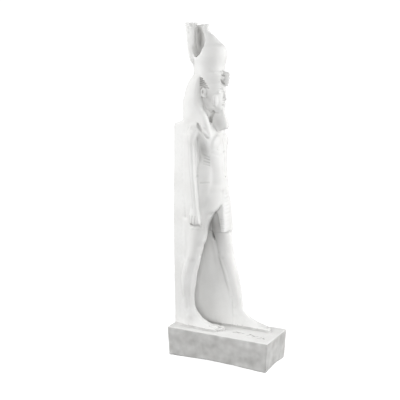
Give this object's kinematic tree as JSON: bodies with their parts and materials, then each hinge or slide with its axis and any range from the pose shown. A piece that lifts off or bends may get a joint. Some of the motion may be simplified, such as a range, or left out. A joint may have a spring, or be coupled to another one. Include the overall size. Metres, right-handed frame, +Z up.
{
  "type": "striding pharaoh statue, plaster cast",
  "caption": "White plaster cast of a striding pharaoh in double crown, headcloth, false beard and kilt, with back pillar and plinth in one piece; stands by its own weight",
  "frame": {"origin": "middle of the plinth's underside, which is the middle of the bounding box's bottom", "axes": "+Z up, the figure faces -Y, its right side is -X; +Z is the longest extent"},
  "size_m": [0.0544, 0.1, 0.3],
  "materials": {
    "plaster": "matt white cast plaster, slightly mottled, softened edges"
  },
  "bodies": {
    "root": {"pharaoh_statue": "plaster"}
  },
  "joints": []
}
